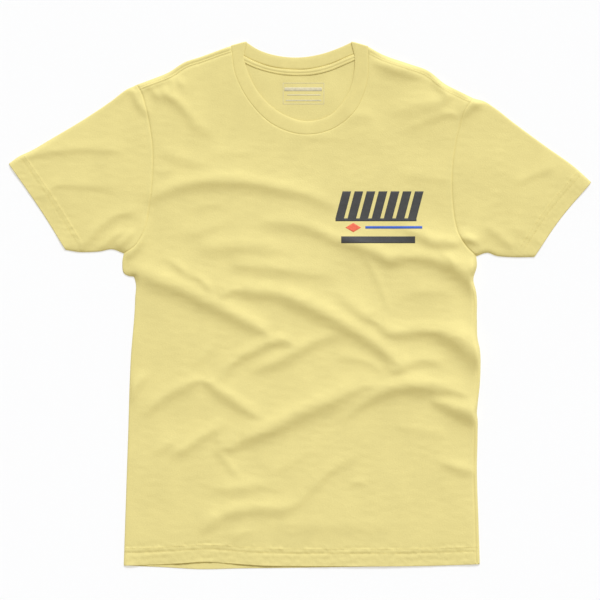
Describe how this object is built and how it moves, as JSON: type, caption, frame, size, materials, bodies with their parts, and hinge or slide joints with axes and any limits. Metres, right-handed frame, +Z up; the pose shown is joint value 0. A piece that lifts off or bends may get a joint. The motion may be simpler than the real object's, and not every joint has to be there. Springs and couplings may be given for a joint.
{
  "type": "t-shirt",
  "caption": "Short-sleeved crew-neck T-shirt laid flat face up, with a rib collar, sewn hems and a small geometric chest print.",
  "frame": {"origin": "on the surface that the shirt lies on, under the middle of its bounding box", "axes": "+Z up, out of the shirt's front; +Y towards the neck; +X towards the wearer's left sleeve"},
  "size_m": [0.82, 0.7427, 0.0111],
  "materials": {
    "jersey": "matt single jersey knit, pale yellow",
    "rib_knit": "matt one-by-one rib knit, pale yellow",
    "neck_tape": "matt self-fabric tape, pale yellow",
    "thread": "spun polyester sewing thread, pale yellow",
    "charcoal_ink": "matt screen-print ink film, charcoal",
    "blue_ink": "matt screen-print ink film, blue",
    "coral_ink": "matt screen-print ink film, coral",
    "label_ink": "thin grey ink, nearly the colour of the cloth"
  },
  "bodies": {
    "root": {"back_hem_cover_thread": "thread", "back_neck_tape": "neck_tape", "back_panel": "jersey", "bottom_hem_stitching_lower": "thread", "bottom_hem_stitching_upper": "thread", "chest_print_bars": "charcoal_ink", "chest_print_line": "blue_ink", "chest_print_lozenge": "coral_ink", "chest_print_plain_bar": "charcoal_ink", "collar_rib": "rib_knit", "collar_seam_thread": "thread", "front_panel": "jersey", "left_armhole_seam_thread": "thread", "left_shoulder_stitching_lower": "thread", "left_shoulder_stitching_upper": "thread", "left_side_seam_thread": "thread", "left_sleeve": "jersey", "left_sleeve_hem_stitching_lower": "thread", "left_sleeve_hem_stitching_upper": "thread", "left_sleeve_seam_thread": "thread", "neck_label_print": "label_ink", "neck_tape_stitching_lower": "thread", "neck_tape_stitching_upper": "thread", "right_armhole_seam_thread": "thread", "right_shoulder_stitching_lower": "thread", "right_shoulder_stitching_upper": "thread", "right_side_seam_thread": "thread", "right_sleeve": "jersey", "right_sleeve_hem_stitching_lower": "thread", "right_sleeve_hem_stitching_upper": "thread", "right_sleeve_seam_thread": "thread"}
  },
  "joints": []
}
